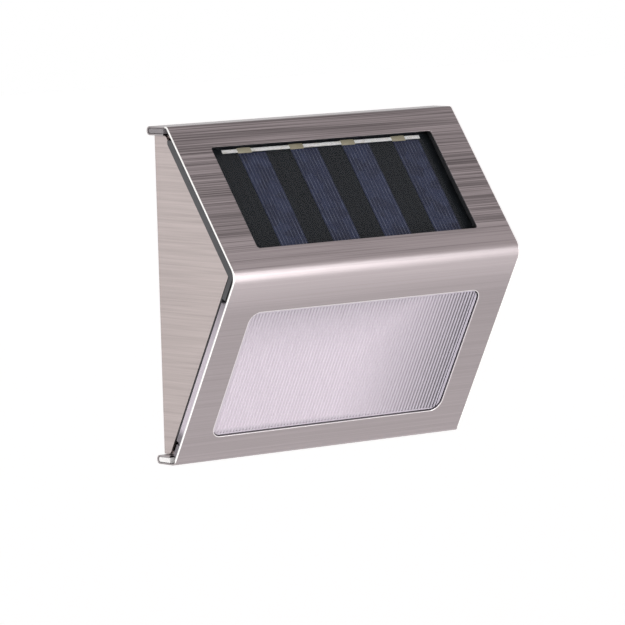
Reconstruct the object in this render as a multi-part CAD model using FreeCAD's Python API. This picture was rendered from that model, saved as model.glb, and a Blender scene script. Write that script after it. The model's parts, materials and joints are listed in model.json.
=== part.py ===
"""Solar fence light: a bent stainless cover over a moulded lamp module, on a wall bracket.

Heights are measured from the cover's lower front corner and depths from the wall (y = 0,
towards the room is -y). Everything is shifted at the end so that the origin lies midway
between the two keyholes, on the wall.
"""
import FreeCAD, Part
import math
import os
from FreeCAD import Vector

os.makedirs("parts", exist_ok=True)

# ---- cover: one sheet, the same profile all the way along X ----
cover_width = 118.0
cover_height = 108.0
cover_depth = 44.0            # wall to the sharp corner of the big bend
roof_rise = 46.0              # that corner to the top edge
roof_top_setback = 10.5       # wall to the top edge of the roof
foot_setback = 9.0            # wall to the lower edge of the front
cover_sheet = 0.5
fit_gap = 0.1                 # play between pieces that are pressed or laid together
bend_radius = 5.0             # outside of the big bend
edge_radius = 1.3             # outside of the small bends at top and foot
hem_height = 2.9              # outside of the folded hems
top_hem_leg = 8.6
foot_hem_leg = 6.6

# ---- windows in the cover ----
solar_border_side = 13.5      # steel left beside the window
solar_border_top = 8.8
solar_window_rise = 9.7       # from the bend's sharp corner
solar_window_radius = 1.0
lens_border_side = 11.5
lens_border_top = 14.6        # to the bend's sharp corner
lens_window_rise = 9.5        # from the foot's sharp corner
lens_window_radius = 3.8

# ---- wall bracket ----
bracket_sheet = 0.8
bracket_inset = 2.5           # its wings stand in from the cover's edges
bracket_fold = 1.2            # outside of the wing folds
hem_clearance = 0.15          # between a hem and the bracket flange next to it
wing_drop_roof = 5.0          # roof's outer face to the wing's sloping edge
wing_drop_front = 6.0
wing_corner_radius = 1.5
wing_bend_radius = 3.0
flange_depth_top = 8.4
flange_depth_foot = 6.4
keyhole_spacing = 92.0
keyhole_drop = 28.0           # from the cover's top
keyhole_radius = 4.0
keyhole_slot_width = 4.4
keyhole_slot_rise = 7.5
service_width = 72.0          # opening in the back plate, behind the switch and battery door
service_height = 42.0
service_drop = 36.0           # its middle, from the cover's top
service_radius = 3.0
catch_spacing = 76.0          # tongues of the bracket that click into slots in the hems
catch_width = 6.4
catch_reach = 1.6
catch_setback = 5.2
catch_clearance = 0.25

# ---- lamp housing ----
seal_roof = 0.8               # foam under the roof
seal_front = 0.6              # foam under the front
seal_margin = 1.0             # foam stands in from the rim and back from the windows
seal_end_margin = 3.0         # bare sheet above and below the foam under the roof
rim_setback = 1.3             # housing rim and lens stand in from the cover's edge
rim_thickness = 3.3
housing_gap = 1.3             # housing body to the bracket wings
housing_wall = 1.8
housing_end_gap = 0.6         # to the bracket flanges
pocket_wall = 1.5
pocket_drop = 0.2             # the pocket's edge, under the rim
aperture_margin_side = 0.5    # light opening beyond the window
aperture_margin_foot = 1.6
aperture_margin_top = 1.9
aperture_radius = 0.8
aperture_depth = 8.0
wire_hole_radius = 1.8
rear_plane = 9.0              # housing's open edge, from the wall
housing_bend_radius = 3.0
housing_edge_radius = 1.0
flat_sides = 12               # flats on small round parts, too small to see

# ---- solar panel ----
panel_recess = 2.6            # roof's outer face to the top of the panel
panel_margin = 1.6            # panel reaches this far under the sheet
panel_board_thickness = 1.2
cell_thickness = 0.3
resin_thickness = 0.6
panel_gap = 0.15
cell_count = 4
cell_pitch_share = 0.226      # cell spacing, as a share of the panel's width
cell_width_share = 0.515      # of that spacing; black board shows between
cell_offset_share = 0.21      # the row sits this share of the spacing right of the middle
cell_margin = 2.5             # bare board above and below the cells
cell_shift = 0.2              # cells sit this far below the panel's middle
ribbon_width = 1.2
ribbon_lead = 6.2             # at both ends of the row
tab_width = 1.9               # across the row
tab_length = 5.5
tab_thickness = 0.25

# ---- lens ----
lens_plate = 1.5
lens_field_rise = 0.5         # the ribbed field stands up into the window
lens_clearance = 0.3
lens_skirt = 2.8              # depth of the lens's side walls
lens_skirt_wall = 1.2
lens_overlap_top = 3.6
lens_overlap_foot = 3.6
rib_pitch = 1.3
rib_height = 0.35
rib_flank = 0.32              # share of the pitch taken by each side of a rib
rib_field_margin = 0.5        # plain edge round the ribs
lens_corner = 1.0

# ---- reflector and light board ----
reflector_wall = 1.2
reflector_ceiling_depth = 14.0
reflector_margin = 0.3        # reflector's mouth beyond the window
reflector_floor_depth = 0.9
reflector_floor_rise = 0.3
reflector_lip = 0.2
led_board_thickness = 1.2
led_board_margin = 5.7        # inside the reflector's ends
led_board_depth = 9.0
led_count = 3
led_spacing = 28.0
led_radius = 2.5
led_length = 5.2
led_clearance = 0.2

# ---- rear case ----
case_plate = 2.4
case_wall_gap = 6.0           # its outer face, from the wall
gasket_thickness = 0.6
gasket_width = 1.4
case_corner = 3.0
screw_inset_x = 4.0
screw_drop_top = 18.0         # from the cover's top
screw_height_foot = 20.0
boss_radius = 2.7
screw_radius = 1.1
screw_length = 7.0
case_reach = 0.5              # left under each screw's end
pilot_depth = 5.4             # into the housing's boss
screw_head_radius = 2.1
screw_head_height = 1.4
screw_seat_depth = 1.5        # under the head, below the case's outer face
screw_play = 0.03             # between a screw and its pilot hole
head_clearance = 0.2
recess_share = 0.6            # length of the cross recess in its head
screw_slack = 0.15            # round a shank in a clearance hole
recess_width = 0.6            # cross recess in a screw head

# ---- battery, its bay and door ----
battery_radius = 7.15
battery_length = 49.2
battery_nub_radius = 2.6
battery_nub_length = 1.2
jacket_thickness = 0.15
can_chamfer = 0.8
bay_rise = 2.5                # battery axis above the bend's sharp corner
bay_clearance = 0.45
bay_wall = 1.2
bay_end_room = 2.4            # for the contacts at each end
contact_thickness = 0.4
dimple_radius = 1.6
spring_wire = 0.5
spring_turns = 3.5
turn_steps = 8                # straight steps in one turn of the spring
spring_radius_big = 3.4
spring_radius_small = 2.0
door_length = 58.0
door_height = 19.0
door_thickness = 1.4
door_clearance = 0.2
door_travel = 8.0
door_tongue = 0.7
door_tongue_thickness = 0.5
door_tongue_rise = 0.45       # the tongue's lower face, above the channel's floor
door_grip_count = 4
door_grip_pitch = 2.0
door_grip_inset = 6.0
door_grip_length = 10.0
door_grip_width = 0.8
door_grip_height = 0.5

# ---- slide switch and control board ----
switch_x = 27.0
switch_rise = 17.0            # above the battery axis
switch_body_length = 12.7
switch_body_width = 6.6
switch_body_depth = 5.6
switch_knob_length = 4.0
switch_knob_width = 3.0
switch_knob_reach = 2.0       # beyond the rear case
switch_travel = 3.0
switch_clearance = 0.3
switch_slot_radius = 0.8
switch_dish_margin = 2.0      # finger dish round the slot
switch_dish_rise = 2.5
switch_dish_radius = 2.0
switch_dish_depth = 0.8
switch_room_depth = 2.6       # room for the knob's foot inside the switch
notch_width = 0.4
notch_depth = 0.4
notch_pitch = 1.0
board_thickness = 1.2
board_width = 52.0
board_height = 11.0
board_centre_x = 14.0
board_post_radius = 2.2
board_screw_radius = 0.73
board_screw_length = 3.8
lead_radius = 0.6
lead_pitch = 1.8
lead_x = 8.0
lead_drop = 2.5               # joints on the board, below its middle
lamp_lead_inset = 6.6         # inside the end of the light board
board_lead_inset = 4.8        # inside the end of the control board
chip_length = 5.0
chip_width = 4.0
chip_height = 1.5
chip_offset = 12.0            # from the board's middle
leg_reach = 2.6               # legs' middle, from the chip's
leg_width = 0.4
leg_pitch = 1.27
coil_radius = 2.2
coil_height = 3.6
capacitor_radius = 1.6
capacitor_height = 4.4
post_inset = 4.0
contact_size = 10.0

half_width = cover_width / 2
bend_height = cover_height - roof_rise
keyhole_height = cover_height - keyhole_drop
service_centre = cover_height - service_drop
bay_height = bend_height + bay_rise
switch_height = bay_height + switch_rise
wing_plane = half_width - bracket_inset
rim_half = half_width - rim_setback
body_half = wing_plane - bracket_sheet - housing_gap
flange_top = cover_height - hem_height - hem_clearance
flange_foot = hem_height + hem_clearance
body_top = flange_top - bracket_sheet - housing_end_gap
case_outer = -case_wall_gap
case_inner = case_outer - case_plate
housing_rear = -rear_plane
roof_top = Vector(0, -roof_top_setback, cover_height)
bend = Vector(0, -cover_depth, bend_height)
foot = Vector(0, -foot_setback, 0)


# ---- helpers ----
def slope(start, end):
    """Placement with local x along X, local y up the slope and local z out of the cover."""
    along = (end - start).normalize()
    out = Vector(1, 0, 0).cross(along)
    axes = FreeCAD.Matrix(1, along.x, out.x, start.x,
                          0, along.y, out.y, start.y,
                          0, along.z, out.z, start.z,
                          0, 0, 0, 1)
    return FreeCAD.Placement(axes)


roof = slope(bend, roof_top)
front = slope(foot, bend)
roof_length = (roof_top - bend).Length
front_length = (bend - foot).Length
solar_window_width = cover_width - 2 * solar_border_side
solar_window_length = roof_length - solar_window_rise - solar_border_top
lens_window_width = cover_width - 2 * lens_border_side
lens_window_length = front_length - lens_window_rise - lens_border_top


def placed(shape, placement):
    moved = shape.copy()
    moved.Placement = placement.multiply(moved.Placement)
    return moved


def block(x0, x1, y0, y1, z0, z1):
    return Part.makeBox(x1 - x0, y1 - y0, z1 - z0, Vector(x0, y0, z0))


def rod(radius, length, start, direction):
    return Part.makeCylinder(radius, length, start, direction)


def rounded_plate(width, length, radius, z0, z1, x=0.0, y=0.0):
    """A plate in the local xy plane with rounded corners."""
    plate = block(x - width / 2, x + width / 2, y - length / 2, y + length / 2, z0, z1)
    if radius <= 0:
        return plate
    upright = [e for e in plate.Edges if abs(e.tangentAt(e.FirstParameter).z) > 0.99]
    return plate.makeFillet(radius, upright)


def wall_plate(width, height, radius, y0, y1, x=0.0, z=0.0):
    """A rounded plate that stands parallel to the wall."""
    turn = FreeCAD.Placement(Vector(0, 0, 0), FreeCAD.Rotation(Vector(1, 0, 0), 90))
    return placed(rounded_plate(width, height, radius, -y1, -y0, x, z), turn)


def rounded_wire(points, radii, closed=False):
    """Straight runs joined by tangent arcs through points of one plane."""
    count = len(points)
    starts, ends, middles = [], [], []
    for i in range(count):
        if radii[i] <= 0 or (not closed and i in (0, count - 1)):
            starts.append(points[i])
            ends.append(points[i])
            middles.append(None)
            continue
        back = (points[i - 1] - points[i]).normalize()
        ahead = (points[(i + 1) % count] - points[i]).normalize()
        half = back.getAngle(ahead) / 2
        reach = radii[i] / math.tan(half)
        starts.append(points[i] + back * reach)
        ends.append(points[i] + ahead * reach)
        bisector = (back + ahead).normalize()
        middles.append(points[i] + bisector * (radii[i] / math.sin(half) - radii[i]))
    edges = []
    for i in range(count):
        if middles[i] is not None:
            edges.append(Part.Arc(starts[i], middles[i], ends[i]).toShape())
        if i == count - 1 and not closed:
            break
        following = starts[(i + 1) % count]
        if (following - ends[i]).Length > 1e-6:
            edges.append(Part.LineSegment(ends[i], following).toShape())
    return Part.Wire(edges)


def meet(point_a, line_a, point_b, line_b):
    """Where two lines of the side view cross."""
    across = line_a.y * line_b.z - line_a.z * line_b.y
    gap = point_b - point_a
    share = (gap.y * line_b.z - gap.z * line_b.y) / across
    return point_a + line_a * share


def on_slope(placement, along, out, x=0.0):
    return placement.multVec(Vector(x, along, out))


def side_outline(roof_drop, front_drop, top, low, rear):
    """Corners of the side view: under the roof and the front, down to a rear plane."""
    roof_line = on_slope(roof, 1, 0) - on_slope(roof, 0, 0)
    front_line = on_slope(front, 1, 0) - on_slope(front, 0, 0)
    roof_point = on_slope(roof, 0, -roof_drop)
    front_point = on_slope(front, 0, -front_drop)
    level = Vector(0, 1, 0)
    return [Vector(0, rear, low), Vector(0, rear, top),
            meet(roof_point, roof_line, Vector(0, 0, top), level),
            meet(roof_point, roof_line, front_point, front_line),
            meet(front_point, front_line, Vector(0, 0, low), level)]


def module_outline(roof_drop, front_drop, top, foot_along, rear):
    """The same corners, but with a foot wall that stands square to the front."""
    corners = side_outline(roof_drop, front_drop, top, 0, rear)
    square = on_slope(front, 0, 1) - on_slope(front, 0, 0)
    front_foot = on_slope(front, foot_along, -front_drop)
    rear_foot = meet(front_foot, square, Vector(0, rear, 0), Vector(0, 0, 1))
    return [rear_foot] + corners[1:4] + [front_foot]


def prism(points, half, radii=None):
    """The side view's outline carried from -half to half along X."""
    radii = radii or [0] * len(points)
    face = Part.Face(rounded_wire(points, radii, closed=True))
    return face.translated(Vector(-half, 0, 0)).extrude(Vector(2 * half, 0, 0))


def small_ring(radius, centre, heading, sides):
    """A many-sided section square to the heading."""
    across = Vector(0, 1, 0) if abs(heading.x) > abs(heading.y) + abs(heading.z) else Vector(1, 0, 0)
    side = heading.cross(across).normalize()
    other = heading.cross(side).normalize()
    angles = [2 * math.pi / sides * i for i in range(sides)]
    corners = [centre + side * (radius * math.cos(a)) + other * (radius * math.sin(a))
               for a in angles]
    return Part.makePolygon(corners + corners[:1])


def turned(stations, start, direction, sides):
    """A round body through (distance, radius) stations along the direction."""
    rings = [small_ring(radius, start + direction * distance, direction, sides)
             for distance, radius in stations]
    return Part.makeLoft(rings, True, True)


def small_rod(radius, length, start, direction):
    return turned([(0, radius), (length, radius)], start, direction, flat_sides)


def tube(points, radius, sides):
    """A thin wire through the points, its section square to the path."""
    last = len(points) - 1
    rings = []
    for i, point in enumerate(points):
        heading = (points[min(i + 1, last)] - points[max(i - 1, 0)]).normalize()
        rings.append(small_ring(radius, point, heading, sides))
    return Part.makeLoft(rings, True, True)


def carve(shape, *tools):
    for tool in tools:
        shape = shape.cut(tool)
    return shape


def join(shape, *others):
    return shape.fuse(list(others)).removeSplitter()


def save(name, shape):
    """Write one node, with the origin moved between the keyholes."""
    solids = shape.Solids
    moved = solids[0] if len(solids) == 1 else Part.makeCompound(solids)
    moved = moved.translated(Vector(0, 0, -keyhole_height))
    moved.exportStep("parts/" + name + ".step")
    print(name, len(solids), round(moved.Volume, 1), moved.isValid())


# ---- front cover ----
def hem_slots(level):
    """Slots in a hem's inner leg for the bracket's tongues."""
    half = catch_width / 2 + catch_clearance
    depth = bracket_sheet / 2 + catch_clearance
    return [block(x - half, x + half, -catch_setback - depth, -catch_setback + depth,
                  level - cover_sheet, level + cover_sheet)
            for x in (-catch_spacing / 2, catch_spacing / 2)]


def sheet_path(inset):
    """The sheet's line from one hem to the other, moved in by inset."""
    roof_line = on_slope(roof, 1, 0) - on_slope(roof, 0, 0)
    front_line = on_slope(front, 1, 0) - on_slope(front, 0, 0)
    roof_point = on_slope(roof, 0, -inset)
    front_point = on_slope(front, 0, -inset)
    level = Vector(0, 1, 0)
    top, low = cover_height - inset, inset
    inner_top = cover_height - hem_height + inset
    inner_low = hem_height - inset
    points = [Vector(0, -top_hem_leg, inner_top), Vector(0, -inset, inner_top),
              Vector(0, -inset, top),
              meet(roof_point, roof_line, Vector(0, 0, top), level),
              meet(roof_point, roof_line, front_point, front_line),
              meet(front_point, front_line, Vector(0, 0, low), level),
              Vector(0, -inset, low), Vector(0, -inset, inner_low),
              Vector(0, -foot_hem_leg, inner_low)]
    hem = hem_height / 2 - inset
    radii = [0, hem, hem, edge_radius - inset, bend_radius - inset, edge_radius - inset,
             hem, hem, 0]
    return rounded_wire(points, radii)


def front_cover():
    outer, inner = sheet_path(0), sheet_path(cover_sheet)
    outer_ends = [outer.OrderedVertexes[0].Point, outer.OrderedVertexes[-1].Point]
    inner_ends = [inner.OrderedVertexes[0].Point, inner.OrderedVertexes[-1].Point]
    caps = [Part.LineSegment(a, b).toShape() for a, b in zip(outer_ends, inner_ends)]
    profile = Part.Face(Part.Wire(Part.__sortEdges__(outer.Edges + inner.Edges + caps)))
    shell = profile.translated(Vector(-half_width, 0, 0)).extrude(Vector(cover_width, 0, 0))
    solar = rounded_plate(solar_window_width, solar_window_length, solar_window_radius,
                          -2, 2, y=solar_window_rise + solar_window_length / 2)
    lens = rounded_plate(lens_window_width, lens_window_length, lens_window_radius,
                         -2, 2, y=lens_window_rise + lens_window_length / 2)
    shell = carve(shell, placed(solar, roof), placed(lens, front))
    return carve(shell, *hem_slots(cover_height - hem_height), *hem_slots(hem_height))


# ---- wall bracket ----
def keyhole(x):
    hole = rod(keyhole_radius, 4, Vector(x, -2, keyhole_height), Vector(0, 1, 0))
    half = keyhole_slot_width / 2
    rise = keyhole_height + keyhole_slot_rise
    slot = block(x - half, x + half, -2, 2, keyhole_height, rise)
    return join(hole, slot, rod(half, 4, Vector(x, -2, rise), Vector(0, 1, 0)))


def catches(level, direction):
    """Tongues turned out of a flange, into the hem."""
    half = catch_width / 2
    depth = bracket_sheet / 2
    return [block(x - half, x + half, -catch_setback - depth, -catch_setback + depth,
                  min(level, level + direction), max(level, level + direction))
            for x in (-catch_spacing / 2, catch_spacing / 2)]


def wall_bracket():
    height = flange_top - flange_foot
    channel = block(-wing_plane, wing_plane, -cover_depth, 0, flange_foot, flange_top)
    folds = [e for e in channel.Edges
             if abs(e.Vertexes[0].Y) < 1e-6 and abs(e.Vertexes[1].Y) < 1e-6
             and abs(e.Length - height) < 1e-6]
    channel = channel.makeFillet(bracket_fold, folds)
    inside = wing_plane - bracket_sheet
    hollow = block(-inside, inside, -cover_depth, -bracket_sheet, flange_foot - 1, flange_top + 1)
    back_folds = [e for e in hollow.Edges
                  if abs(e.Vertexes[0].Y + bracket_sheet) < 1e-6
                  and abs(e.Vertexes[1].Y + bracket_sheet) < 1e-6
                  and e.Length > height]
    hollow = hollow.makeFillet(bracket_fold - bracket_sheet, back_folds)
    outline = side_outline(wing_drop_roof, wing_drop_front, flange_top, flange_foot, 0)
    body = channel.cut(hollow).common(prism(outline, half_width, [0, 0, wing_corner_radius,
                                                                 wing_bend_radius,
                                                                 wing_corner_radius]))
    top_flange = block(-inside, inside, -flange_depth_top, -bracket_fold,
                       flange_top - bracket_sheet, flange_top)
    foot_flange = block(-inside, inside, -flange_depth_foot, -bracket_fold,
                        flange_foot, flange_foot + bracket_sheet)
    back_strip = [block(-inside + bracket_fold, inside - bracket_fold, -bracket_fold, 0,
                        level, level + bracket_sheet)
                  for level in (flange_top - bracket_sheet, flange_foot)]
    body = join(body, top_flange, foot_flange, *back_strip)
    body = join(body, *catches(flange_top - bracket_sheet / 2, catch_reach + bracket_sheet / 2))
    body = join(body, *catches(flange_foot + bracket_sheet / 2,
                               -catch_reach - bracket_sheet / 2))
    service = wall_plate(service_width, service_height, service_radius, -4, 2,
                         z=service_centre)
    holes = [keyhole(x) for x in (-keyhole_spacing / 2, keyhole_spacing / 2)]
    return carve(body, service, *holes)


# ---- lamp housing ----
front_rim_drop = cover_sheet + seal_front + lens_plate
roof_rim_drop = cover_sheet + seal_roof
panel_width = solar_window_width + 2 * panel_margin
panel_length = solar_window_length + 2 * panel_margin
panel_middle = solar_window_rise + solar_window_length / 2
panel_floor = panel_recess + resin_thickness + cell_thickness + panel_board_thickness
lens_length = lens_window_length + lens_overlap_top + lens_overlap_foot
lens_middle = (lens_window_rise - lens_overlap_foot) + lens_length / 2
aperture_width = lens_window_width + 2 * aperture_margin_side
aperture_low = lens_window_rise - aperture_margin_foot
aperture_high = lens_window_rise + lens_window_length + aperture_margin_top
housing_foot = lens_window_rise - lens_overlap_foot
housing_outline = module_outline(roof_rim_drop, front_rim_drop, body_top, housing_foot,
                                 housing_rear)
body_foot = housing_outline[0].z


def screw_places():
    x = body_half - screw_inset_x
    return [Vector(side * x, 0, height)
            for height in (screw_height_foot, cover_height - screw_drop_top)
            for side in (-1, 1)]


def light_housing():
    radii = [0, 0, housing_edge_radius, housing_bend_radius, 0]
    body = prism(housing_outline, body_half, radii)
    rim_back = side_outline(roof_rim_drop + rim_thickness,
                            front_rim_drop + rim_thickness - lens_plate,
                            body_top + 1, body_foot - 5, 5)
    rim = prism(housing_outline, rim_half, radii).cut(prism(rim_back, half_width + 1))
    shell = join(body, rim)
    cavity = module_outline(roof_rim_drop + housing_wall, front_rim_drop + housing_wall,
                            body_top - housing_wall, housing_foot + housing_wall, 5)
    shell = shell.cut(prism(cavity, body_half - housing_wall))
    # pocket for the panel, hung into the shell
    pocket_depth = panel_floor + pocket_wall
    tray = rounded_plate(panel_width + 2 * (panel_gap + pocket_wall),
                         panel_length + 2 * (panel_gap + pocket_wall), 0,
                         -pocket_depth, -roof_rim_drop - pocket_drop, y=panel_middle)
    bosses = [rod(boss_radius, cover_depth, Vector(p.x, housing_rear, p.z), Vector(0, -1, 0))
              for p in screw_places()]
    solid_inside = prism(housing_outline, body_half, radii)
    shell = join(shell, placed(tray, roof).common(solid_inside),
                 *[b.common(solid_inside) for b in bosses])
    hollow = rounded_plate(panel_width + 2 * panel_gap, panel_length + 2 * panel_gap, 0,
                           -panel_floor, 2, y=panel_middle)
    aperture = rounded_plate(aperture_width, aperture_high - aperture_low, aperture_radius,
                             -aperture_depth, 2, y=(aperture_low + aperture_high) / 2)
    # the lens's side walls drop over the rim's edge
    skirt_half = lens_length / 2 + lens_clearance
    skirt_inner = rim_half - lens_skirt_wall - lens_clearance
    skirt_low = -cover_sheet - seal_front - lens_skirt - lens_clearance
    skirt_rooms = [placed(block(min(side * skirt_inner, side * half_width),
                                max(side * skirt_inner, side * half_width),
                                lens_middle - skirt_half, lens_middle + skirt_half,
                                skirt_low, 0), front) for side in (-1, 1)]
    pilots = [small_rod(screw_radius - screw_play / 2, pilot_depth,
                        Vector(p.x, housing_rear, p.z), Vector(0, -1, 0))
              for p in screw_places()]
    wire_hole = small_rod(wire_hole_radius, 3 * pocket_wall,
                          Vector(lead_x, pocket_back_y + pocket_wall, lead_z), Vector(0, -1, 0))
    return carve(shell, placed(hollow, roof), placed(aperture, front), *skirt_rooms, wire_hole,
                 *pilots)


# ---- solar panel ----
def panel_layer(low, high):
    return placed(rounded_plate(panel_width, panel_length, 0, low, high, y=panel_middle), roof)


board_top = -panel_floor + panel_board_thickness
cell_pitch = cell_pitch_share * panel_width
cell_width = cell_width_share * cell_pitch
cell_length = panel_length - 2 * cell_margin
cell_middle = panel_middle - cell_shift
tab_level = cell_middle + cell_length / 2 + fit_gap + tab_width / 2


def cell_x(index):
    return (index - (cell_count - 1) / 2 + cell_offset_share) * cell_pitch


def cell_left(index):
    return cell_x(index) - cell_width / 2


def solar_cells():
    cells = [placed(rounded_plate(cell_width, cell_length, 0, board_top,
                                  board_top + cell_thickness / 2, x=cell_x(i), y=cell_middle),
                    roof) for i in range(cell_count)]
    return Part.makeCompound(cells)


def cell_tabs():
    """A soldered tab at the top left corner of each cell."""
    tabs = [placed(rounded_plate(tab_length, tab_width, 0, board_top, board_top + tab_thickness,
                                 x=cell_left(i) + tab_length / 2, y=tab_level), roof)
            for i in range(cell_count)]
    return Part.makeCompound(tabs)


def cell_ribbons():
    """Tinned strips from tab to tab, with a short lead at each end of the row."""
    starts = [cell_left(0) - ribbon_lead]
    starts += [cell_left(i) + tab_length + fit_gap for i in range(cell_count)]
    ends = [cell_left(i) - fit_gap for i in range(cell_count)]
    ends.append(starts[-1] + ribbon_lead)
    strips = [placed(rounded_plate(end - start, ribbon_width, 0, board_top,
                                   board_top + cell_thickness, x=(start + end) / 2,
                                   y=tab_level), roof)
              for start, end in zip(starts, ends)]
    return Part.makeCompound(strips)


def frame_plate(outer_width, outer_length, inner_width, inner_length, low, high, middle_y,
                inner_middle, inner_radius):
    ring = rounded_plate(outer_width, outer_length, 0, low, high, y=middle_y)
    return ring.cut(rounded_plate(inner_width, inner_length, inner_radius, low - 1, high + 1,
                                  y=inner_middle))


def panel_seal():
    low_end, high_end = bend_radius, roof_length - seal_end_margin
    ring = frame_plate(2 * (rim_half - seal_margin), high_end - low_end,
                       solar_window_width + seal_margin, solar_window_length + seal_margin,
                       -roof_rim_drop, -cover_sheet, (low_end + high_end) / 2, panel_middle, 0)
    return placed(ring, roof)


# ---- lens ----
def rib_comb(width, low, top):
    """A row of ridges with rounded look: three facets to a ridge, side by side along x."""
    count = int(width // rib_pitch)
    start = -count * rib_pitch / 2
    points = [Vector(start, 0, low)]
    for i in range(count):
        x = start + i * rib_pitch
        points.append(Vector(x, 0, top - rib_height))
        points.append(Vector(x + rib_pitch * rib_flank, 0, top))
        points.append(Vector(x + rib_pitch * (1 - rib_flank), 0, top))
    points.append(Vector(start + count * rib_pitch, 0, top - rib_height))
    points.append(Vector(start + count * rib_pitch, 0, low))
    return Part.Face(Part.makePolygon(points + [points[0]]))


def lens():
    top = -cover_sheet - seal_front
    plate = rounded_plate(2 * rim_half, lens_length, lens_corner, top - lens_plate, top,
                          y=lens_middle)
    skirts = [block(side * rim_half - (lens_skirt_wall if side > 0 else 0),
                    side * rim_half + (0 if side > 0 else lens_skirt_wall),
                    lens_middle - lens_length / 2 + lens_corner,
                    lens_middle + lens_length / 2 - lens_corner,
                    top - lens_skirt, top - lens_plate / 2) for side in (-1, 1)]
    field_width = lens_window_width - 2 * lens_clearance
    field_length = lens_window_length - 2 * lens_clearance
    middle = lens_window_rise + lens_window_length / 2
    base = rounded_plate(field_width, field_length, lens_window_radius - lens_clearance,
                         top - lens_plate / 2, top + lens_field_rise, y=middle)
    rib_length = field_length - 2 * rib_field_margin
    comb = rib_comb(field_width - 2 * rib_field_margin, top - lens_plate / 2,
                    top + lens_field_rise)
    comb = comb.translated(Vector(0, middle - rib_length / 2, 0))
    comb = comb.extrude(Vector(0, rib_length, 0))
    groove_room = rounded_plate(comb.BoundBox.XLength, rib_length, 0,
                                top + lens_field_rise - rib_height,
                                top + lens_field_rise + 1, y=middle)
    field = base.cut(groove_room.cut(comb))
    return placed(join(plate, *skirts, field), front)


def lens_seal():
    ring = frame_plate(2 * (rim_half - seal_margin), lens_length - 2 * lens_clearance,
                       lens_window_width + seal_margin, lens_window_length + seal_margin,
                       -cover_sheet - seal_front, -cover_sheet, lens_middle,
                       lens_window_rise + lens_window_length / 2, lens_window_radius)
    return placed(ring, front)


# ---- reflector and lamps ----
reflector_low = lens_window_rise - reflector_margin
reflector_high = lens_window_rise + lens_window_length + reflector_margin
reflector_front = cover_sheet + seal_front + lens_plate + 1.5 * fit_gap
ceiling_start = on_slope(front, reflector_high, -reflector_front)
ceiling_level = ceiling_start.z
ceiling_back = ceiling_start.y + reflector_ceiling_depth


def reflector():
    low_point = on_slope(front, reflector_low, -reflector_front)
    back_low = Vector(0, low_point.y + reflector_floor_depth,
                      low_point.z + reflector_floor_rise)
    back_high = Vector(0, ceiling_back, ceiling_level)
    half = lens_window_width / 2 + reflector_lip
    inner = [low_point, ceiling_start, back_high, back_low]
    hollow = prism(inner, half - reflector_wall)
    outer = [low_point + Vector(0, fit_gap, -reflector_lip),
             ceiling_start + Vector(0, fit_gap, reflector_wall),
             back_high + Vector(0, reflector_wall, reflector_wall),
             back_low + Vector(0, reflector_wall, -reflector_lip)]
    tray = prism(outer, half)
    mouth = prism([low_point + Vector(0, -3, 0), ceiling_start + Vector(0, -3, 0),
                   ceiling_start + Vector(0, reflector_lip, 0),
                   low_point + Vector(0, reflector_lip, 0)],
                  half - reflector_wall)
    tray = carve(tray, hollow, mouth)
    bores = [small_rod(led_radius + led_clearance, 4, Vector(x, led_y, ceiling_level - 2),
                       Vector(0, 0, 1)) for x in led_places()]
    return carve(tray, *bores)


led_y = ceiling_start.y + reflector_ceiling_depth / 2
led_board_low = ceiling_level + reflector_wall + fit_gap


def led_places():
    return [(i - (led_count - 1) / 2) * led_spacing for i in range(led_count)]


def led_board():
    half = lens_window_width / 2 - led_board_margin
    return block(-half, half, led_y - led_board_depth / 2, led_y + led_board_depth / 2,
                 led_board_low, led_board_low + led_board_thickness)


def leds():
    """Lamps with a domed end."""
    straight = led_length - led_radius
    dome = [(straight + led_radius * math.sin(math.radians(a)),
             led_radius * math.cos(math.radians(a))) for a in (0, 35, 65)]
    return Part.makeCompound([turned([(0, led_radius)] + dome, Vector(x, led_y, led_board_low),
                                     Vector(0, 0, -1), flat_sides) for x in led_places()])


# ---- rear case ----
bay_inner = battery_radius + bay_clearance
bay_half = battery_length / 2 + battery_nub_length / 2 + bay_end_room
battery_y = case_inner - battery_radius - bay_clearance
door_floor = case_outer - door_thickness - fit_gap
knob_left = switch_x - switch_travel / 2


def door_channel(grow, reach):
    """Room for the door: its plate, its side tongues and the travel beyond its end."""
    half = door_height / 2 + grow
    left, right = -door_length / 2 - grow, door_length / 2 + grow + reach
    plate = block(left, right, door_floor, case_outer + 1, bay_height - half, bay_height + half)
    tongue_low = door_floor + door_tongue_rise - grow
    tongue = block(left, right, tongue_low, tongue_low + door_tongue_thickness + 2 * grow,
                   bay_height - half - door_tongue, bay_height + half + door_tongue)
    return join(plate, tongue)


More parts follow.
